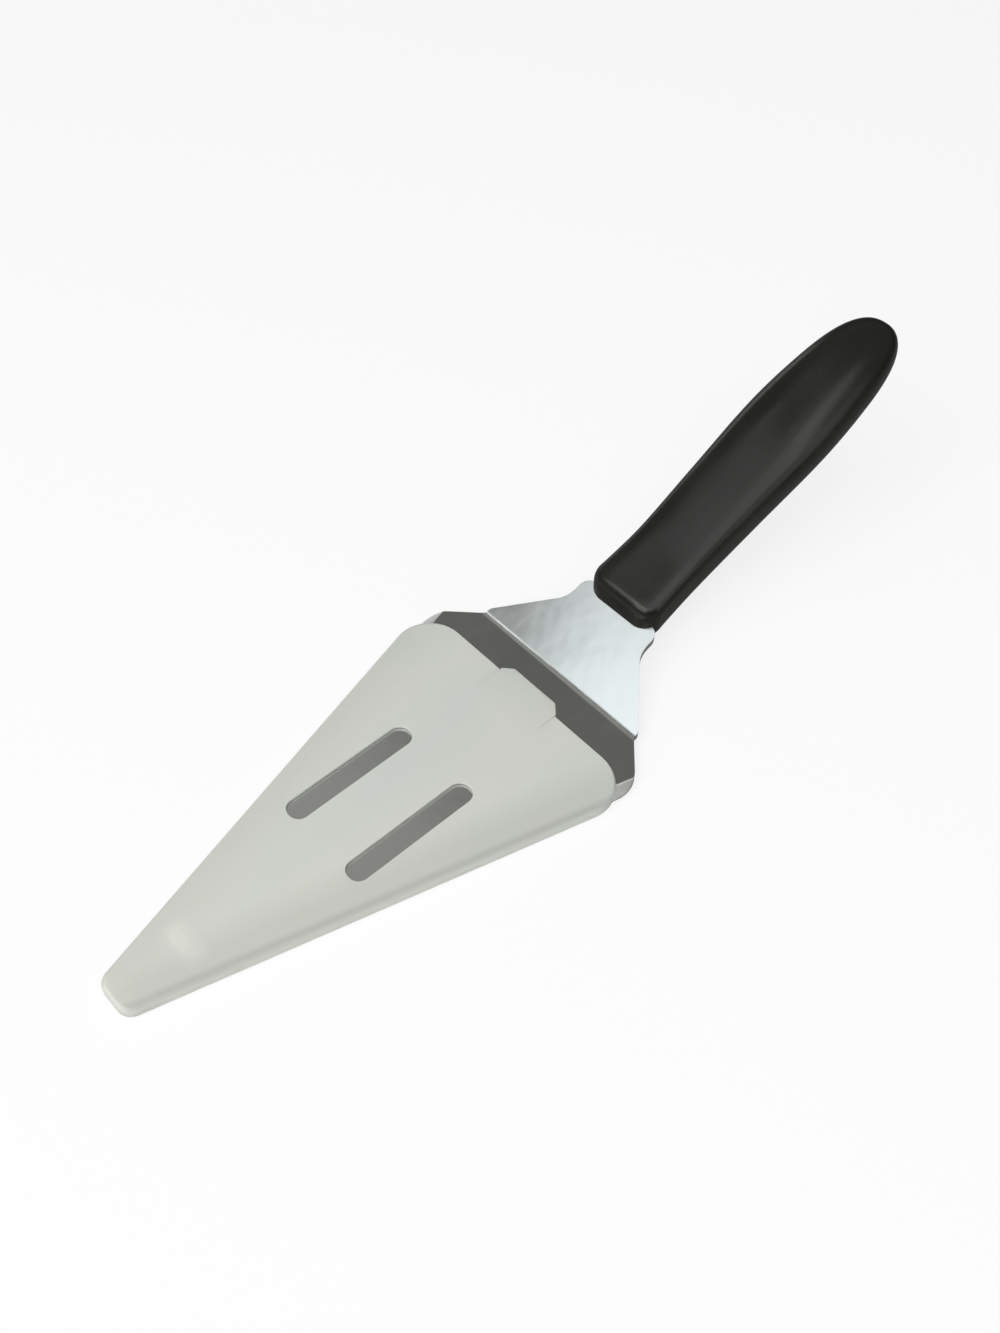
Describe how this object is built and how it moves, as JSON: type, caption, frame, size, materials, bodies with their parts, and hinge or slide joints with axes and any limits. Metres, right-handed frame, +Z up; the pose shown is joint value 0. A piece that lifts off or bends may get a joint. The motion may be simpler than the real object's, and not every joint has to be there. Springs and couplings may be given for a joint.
{
  "type": "cake server",
  "caption": "Triangular steel cake server with raised moulded handle and a translucent slotted sleeve that slides over the blade.",
  "frame": {"origin": "centre of the sleeve's flat underside, halfway between its nose and its mouth", "axes": "+X from the tip toward the handle, +Y to the left when looking along +X, +Z up from the flat underside"},
  "size_m": [0.2583, 0.0758, 0.0547],
  "materials": {
    "steel": "satin ground stainless steel",
    "handle_plastic": "black moulded polypropylene, satin",
    "sleeve_plastic": "milky translucent moulded plastic, satin"
  },
  "bodies": {
    "server": {"blade": "steel", "handle": "handle_plastic"},
    "guard": {"sleeve": "sleeve_plastic"}
  },
  "joints": [
    {"name": "sleeve_slide", "type": "slide", "parent": "server", "child": "guard", "axis": [-1, 0, 0], "range_m": [0, 0.13]}
  ]
}
